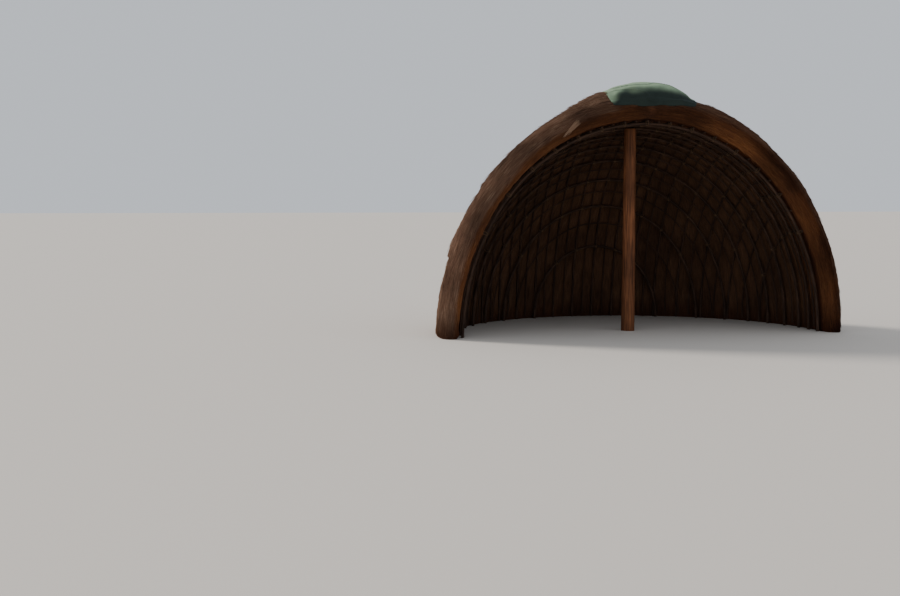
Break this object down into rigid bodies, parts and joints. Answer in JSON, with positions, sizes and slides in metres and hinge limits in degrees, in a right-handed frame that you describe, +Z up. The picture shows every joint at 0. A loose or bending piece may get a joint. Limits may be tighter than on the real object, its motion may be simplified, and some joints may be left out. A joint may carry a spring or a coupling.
{
  "type": "thatched beehive hut",
  "caption": "Open-fronted thatched beehive hut: half a dome of thatch over bent saplings, with a rolled rim round its wide arch, a front post and a cloth cover on the crown.",
  "frame": {"origin": "ground level, at the middle of the hut's length and width", "axes": "+X across the opening, to the right when facing it from outside; +Y from the opening to the back of the dome; +Z up"},
  "size_m": [4.884, 2.7328, 2.9341],
  "materials": {
    "dome_thatch": "weathered grass thatch, grey-brown",
    "rim_thatch": "rolled grass thatch, orange-brown",
    "sapling": "bent saplings with the bark on",
    "post_timber": "peeled log, dry and checked",
    "cover_cloth": "faded green woven sheet"
  },
  "bodies": {
    "root": {"thatch_bottom_left": "dome_thatch", "thatch_bottom_back": "dome_thatch", "thatch_bottom_right": "dome_thatch", "thatch_middle_left": "dome_thatch", "thatch_middle_back": "dome_thatch", "thatch_middle_right": "dome_thatch", "thatch_upper_left": "dome_thatch", "thatch_upper_back": "dome_thatch", "thatch_upper_right": "dome_thatch", "thatch_crown": "dome_thatch", "crown_pad": "dome_thatch", "rim_left_foot": "rim_thatch", "rim_left_shoulder": "rim_thatch", "rim_crown": "rim_thatch", "rim_right_shoulder": "rim_thatch", "rim_right_foot": "rim_thatch", "hoop_front": "sapling", "hoop_before_post": "sapling", "hoop_over_post": "sapling", "hoop_3": "sapling", "hoop_4": "sapling", "hoop_5": "sapling", "hoop_6": "sapling", "hoop_7": "sapling", "hoop_8": "sapling", "rib_centre": "sapling", "rib_left_1": "sapling", "rib_left_2": "sapling", "rib_left_3": "sapling", "rib_left_4": "sapling", "rib_left_5": "sapling", "rib_left_6": "sapling", "rib_left_7": "sapling", "rib_right_1": "sapling", "rib_right_2": "sapling", "rib_right_3": "sapling", "rib_right_4": "sapling", "rib_right_5": "sapling", "rib_right_6": "sapling", "rib_right_7": "sapling", "front_post": "post_timber", "crown_cover": "cover_cloth"}
  },
  "joints": []
}
